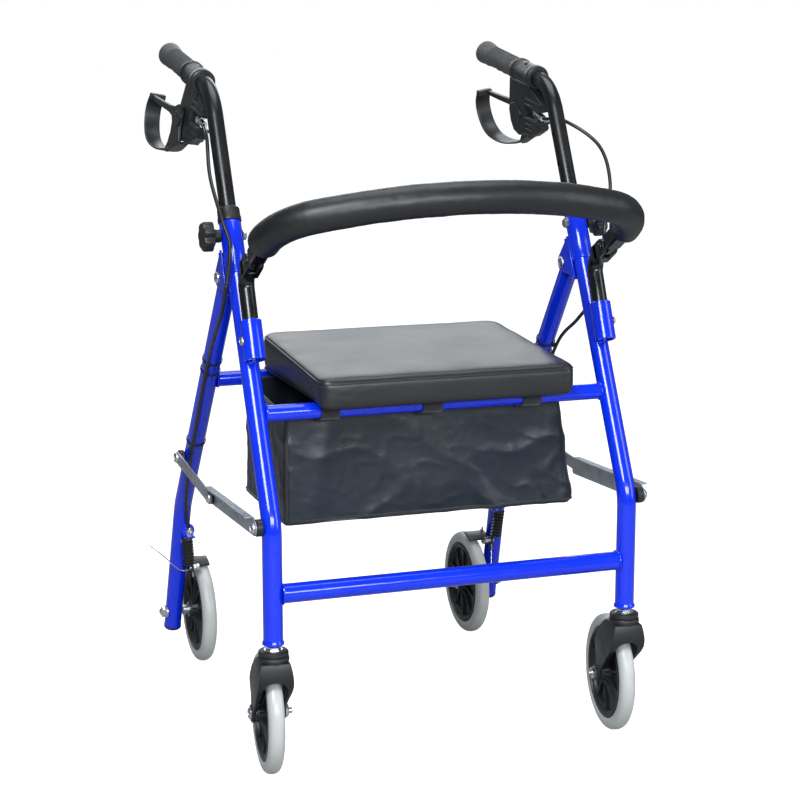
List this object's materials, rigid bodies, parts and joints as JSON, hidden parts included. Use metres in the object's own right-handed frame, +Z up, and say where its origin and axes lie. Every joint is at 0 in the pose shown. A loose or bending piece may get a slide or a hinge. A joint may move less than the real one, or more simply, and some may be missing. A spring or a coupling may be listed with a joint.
{
  "type": "rollator walker",
  "caption": "Folding wheeled walker: blue tubular frame, padded seat with bag beneath, hoop backrest, loop hand brakes, swivel front casters and braked rear wheels.",
  "frame": {"origin": "on the ground, at the middle of the walker's width and length", "axes": "+Z up, +Y towards the user and the handles, +X across the width"},
  "size_m": [0.575, 0.6977, 0.9342],
  "materials": {
    "blue_paint": "gloss powder coat",
    "black_plastic": "satin moulded",
    "zinc_steel": "zinc plated",
    "grey_tyre": "smooth light grey",
    "brake_steel": "gloss black",
    "bellows_rubber": "matte",
    "black_tube": "satin black",
    "grip_rubber": "matte",
    "cable_sheath": "satin",
    "brace_steel": "zinc plated",
    "foam_pad": "matte closed-cell foam",
    "seat_vinyl": "satin vinyl",
    "bag_nylon": "woven nylon"
  },
  "bodies": {
    "front_frame": {"front_leg_a": "blue_paint", "front_leg_b": "blue_paint", "hinge_bracket_a": "blue_paint", "hinge_bracket_b": "blue_paint", "leg_collar_a": "black_plastic", "leg_collar_b": "black_plastic", "height_bolt_a": "zinc_steel", "height_bolt_b": "zinc_steel", "backrest_post_a": "black_tube", "backrest_post_b": "black_tube", "brake_cable_a": "cable_sheath", "brake_cable_b": "cable_sheath", "front_lower_crossbar": "blue_paint", "front_seat_rail": "blue_paint", "storage_bag": "bag_nylon"},
    "rear_frame": {"rear_leg_a": "blue_paint", "rear_leg_b": "blue_paint", "hinge_pin_a": "zinc_steel", "hinge_pin_b": "zinc_steel", "brace_spacer_a": "black_plastic", "brace_spacer_b": "black_plastic", "rear_axle_a": "zinc_steel", "rear_axle_b": "zinc_steel", "brake_spring_a": "bellows_rubber", "brake_spring_b": "bellows_rubber", "rear_crossbar": "blue_paint"},
    "backrest": {"backrest_hoop": "black_tube", "backrest_pad": "foam_pad"},
    "seat": {"seat_board": "black_plastic", "seat_cushion": "seat_vinyl"},
    "height_knob_a": {"height_knob_a": "black_plastic"},
    "handle_a": {"handle_tube_a": "black_tube", "hand_grip_a": "grip_rubber", "brake_housing_a": "black_plastic"},
    "brake_lever_a": {"brake_lever_a": "black_plastic"},
    "brake_arm_a": {"brake_arm_a": "brake_steel"},
    "rear_wheel_a": {"rear_tyre_a": "grey_tyre", "rear_hub_a": "black_plastic"},
    "caster_a": {"caster_fork_a": "black_plastic", "caster_stem_a": "zinc_steel", "caster_axle_a": "zinc_steel"},
    "caster_wheel_a": {"caster_tyre_a": "grey_tyre", "caster_hub_a": "black_plastic"},
    "brace_front_a": {"brace_front_a": "brace_steel"},
    "brace_rear_a": {"brace_rear_a": "brace_steel"},
    "height_knob_b": {"height_knob_b": "black_plastic"},
    "handle_b": {"handle_tube_b": "black_tube", "hand_grip_b": "grip_rubber", "brake_housing_b": "black_plastic"},
    "brake_lever_b": {"brake_lever_b": "black_plastic"},
    "brake_arm_b": {"brake_arm_b": "brake_steel"},
    "rear_wheel_b": {"rear_tyre_b": "grey_tyre", "rear_hub_b": "black_plastic"},
    "caster_b": {"caster_fork_b": "black_plastic", "caster_stem_b": "zinc_steel", "caster_axle_b": "zinc_steel"},
    "caster_wheel_b": {"caster_tyre_b": "grey_tyre", "caster_hub_b": "black_plastic"},
    "brace_front_b": {"brace_front_b": "brace_steel"},
    "brace_rear_b": {"brace_rear_b": "brace_steel"}
  },
  "joints": [
    {"name": "frame_fold", "type": "hinge", "parent": "front_frame", "child": "rear_frame", "pos_m": [0, -0.0596, 0.6325], "axis": [-1, 0, 0], "range_deg": [0, 30], "deforming": ["storage_bag", "brake_cable_a", "brake_cable_b"]},
    {"name": "backrest_flip", "type": "hinge", "parent": "front_frame", "child": "backrest", "pos_m": [0, -0.1778, 0.6668], "axis": [-1, 0, 0], "range_deg": [0, 85]},
    {"name": "seat_flip", "type": "hinge", "parent": "front_frame", "child": "seat", "pos_m": [0, -0.1861, 0.4727], "axis": [1, 0, 0], "range_deg": [0, 85]},
    {"name": "height_knob_a", "type": "hinge", "parent": "front_frame", "child": "height_knob_a", "pos_m": [0.2782, -0.0741, 0.6886], "axis": [1, 0, 0], "continuous": true},
    {"name": "handle_height_a", "type": "slide", "parent": "front_frame", "child": "handle_a", "axis": [0, 0.46, 0.8879], "range_m": [-0.08, 0.04], "deforming": ["brake_cable_a"]},
    {"name": "brake_lever_a", "type": "hinge", "parent": "handle_a", "child": "brake_lever_a", "pos_m": [0.25521, 0.13923, 0.83383], "axis": [0.9848, -0.0278, 0.1714], "range_deg": [0, 12], "stiffness_Nm_per_rad": 0.8, "springref_deg": -5.73},
    {"name": "brake_arm_a", "type": "hinge", "parent": "rear_frame", "child": "brake_arm_a", "pos_m": [0.2452, 0.2414, 0.153], "axis": [-1, 0, 0], "range_deg": [0, 4.2], "deforming": ["brake_spring_a"]},
    {"name": "rear_wheel_a", "type": "hinge", "parent": "rear_frame", "child": "rear_wheel_a", "pos_m": [0.219, 0.2689, 0.08], "axis": [1, 0, 0], "continuous": true},
    {"name": "caster_swivel_a", "type": "hinge", "parent": "front_frame", "child": "caster_a", "pos_m": [0.245, -0.2526, 0.17], "axis": [0, 0, 1], "continuous": true},
    {"name": "caster_wheel_a", "type": "hinge", "parent": "caster_a", "child": "caster_wheel_a", "pos_m": [0.24979, -0.20283, 0.08], "axis": [0.9954, -0.0958, 0], "continuous": true},
    {"name": "brace_front_a", "type": "hinge", "parent": "front_frame", "child": "brace_front_a", "pos_m": [0.2676, -0.2526, 0.342], "axis": [1, 0, 0], "range_deg": [0, 37.17]},
    {"name": "brace_rear_a", "type": "hinge", "parent": "brace_front_a", "child": "brace_rear_a", "pos_m": [0.273, -0.0396, 0.331], "axis": [-1, 0, 0], "range_deg": [0, 114.35]},
    {"name": "height_knob_b", "type": "hinge", "parent": "front_frame", "child": "height_knob_b", "pos_m": [-0.2782, -0.0741, 0.6886], "axis": [1, 0, 0], "continuous": true},
    {"name": "handle_height_b", "type": "slide", "parent": "front_frame", "child": "handle_b", "axis": [0, 0.46, 0.8879], "range_m": [-0.08, 0.04], "deforming": ["brake_cable_b"]},
    {"name": "brake_lever_b", "type": "hinge", "parent": "handle_b", "child": "brake_lever_b", "pos_m": [-0.25521, 0.13923, 0.83383], "axis": [0.9848, 0.0278, -0.1714], "range_deg": [0, 12], "stiffness_Nm_per_rad": 0.8, "springref_deg": -5.73},
    {"name": "brake_arm_b", "type": "hinge", "parent": "rear_frame", "child": "brake_arm_b", "pos_m": [-0.2452, 0.2414, 0.153], "axis": [-1, 0, 0], "range_deg": [0, 4.2], "deforming": ["brake_spring_b"]},
    {"name": "rear_wheel_b", "type": "hinge", "parent": "rear_frame", "child": "rear_wheel_b", "pos_m": [-0.219, 0.2689, 0.08], "axis": [1, 0, 0], "continuous": true},
    {"name": "caster_swivel_b", "type": "hinge", "parent": "front_frame", "child": "caster_b", "pos_m": [-0.245, -0.2526, 0.17], "axis": [0, 0, 1], "continuous": true},
    {"name": "caster_wheel_b", "type": "hinge", "parent": "caster_b", "child": "caster_wheel_b", "pos_m": [-0.24021, -0.20283, 0.08], "axis": [0.9954, -0.0958, 0], "continuous": true},
    {"name": "brace_front_b", "type": "hinge", "parent": "front_frame", "child": "brace_front_b", "pos_m": [-0.2676, -0.2526, 0.342], "axis": [1, 0, 0], "range_deg": [0, 37.17]},
    {"name": "brace_rear_b", "type": "hinge", "parent": "brace_front_b", "child": "brace_rear_b", "pos_m": [-0.273, -0.0396, 0.331], "axis": [-1, 0, 0], "range_deg": [0, 114.35]}
  ],
  "couplings": [
    {"joint": "brake_arm_a", "follows": "brake_lever_a", "ratio": 0.35},
    {"joint": "brace_front_a", "follows": "frame_fold", "ratio": 1.2357},
    {"joint": "brace_rear_a", "follows": "frame_fold", "ratio": 3.8082},
    {"joint": "brake_arm_b", "follows": "brake_lever_b", "ratio": 0.35},
    {"joint": "brace_front_b", "follows": "frame_fold", "ratio": 1.2357},
    {"joint": "brace_rear_b", "follows": "frame_fold", "ratio": 3.8082}
  ]
}
